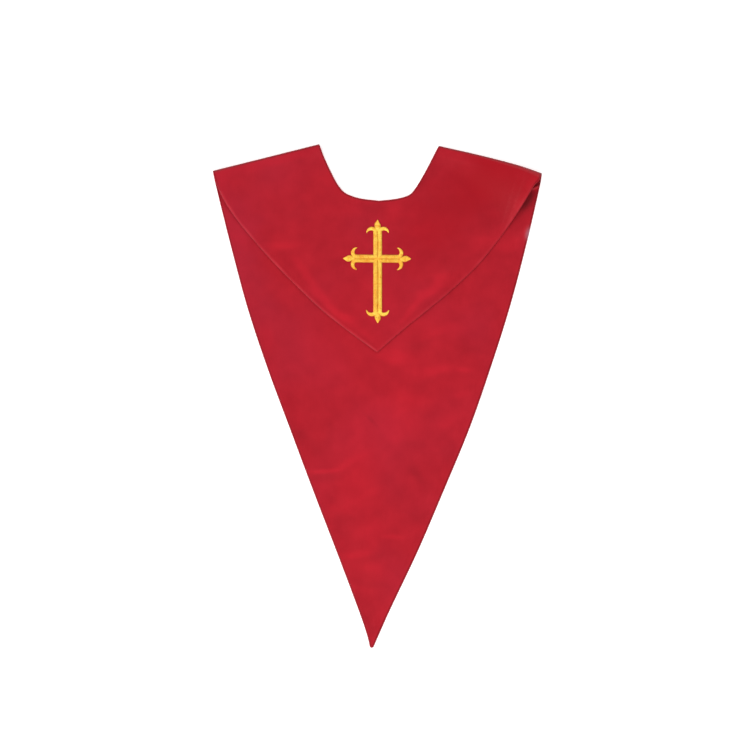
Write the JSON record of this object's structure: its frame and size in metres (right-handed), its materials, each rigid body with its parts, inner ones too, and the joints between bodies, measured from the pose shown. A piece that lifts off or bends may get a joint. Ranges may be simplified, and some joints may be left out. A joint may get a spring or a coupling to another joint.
{
  "type": "choir stole",
  "caption": "Satin V-shaped choir stole laid flat, its short front point over its long back point, with an open neck and a raised embroidered cross.",
  "frame": {"origin": "on the surface that the stole lies on, under the middle of its outline", "axes": "+Y runs up from the long point to the shoulders, +X to the right of the front as it is laid, +Z up out of the surface"},
  "size_m": [0.508, 0.7768, 0.0194],
  "materials": {
    "back_satin": "red satin, soft sheen",
    "front_satin": "red satin, soft sheen",
    "gold_thread": "glossy gold embroidery thread"
  },
  "bodies": {
    "root": {"back_panel": "back_satin", "front_panel": "front_satin", "cross_embroidery": "gold_thread"}
  },
  "joints": []
}
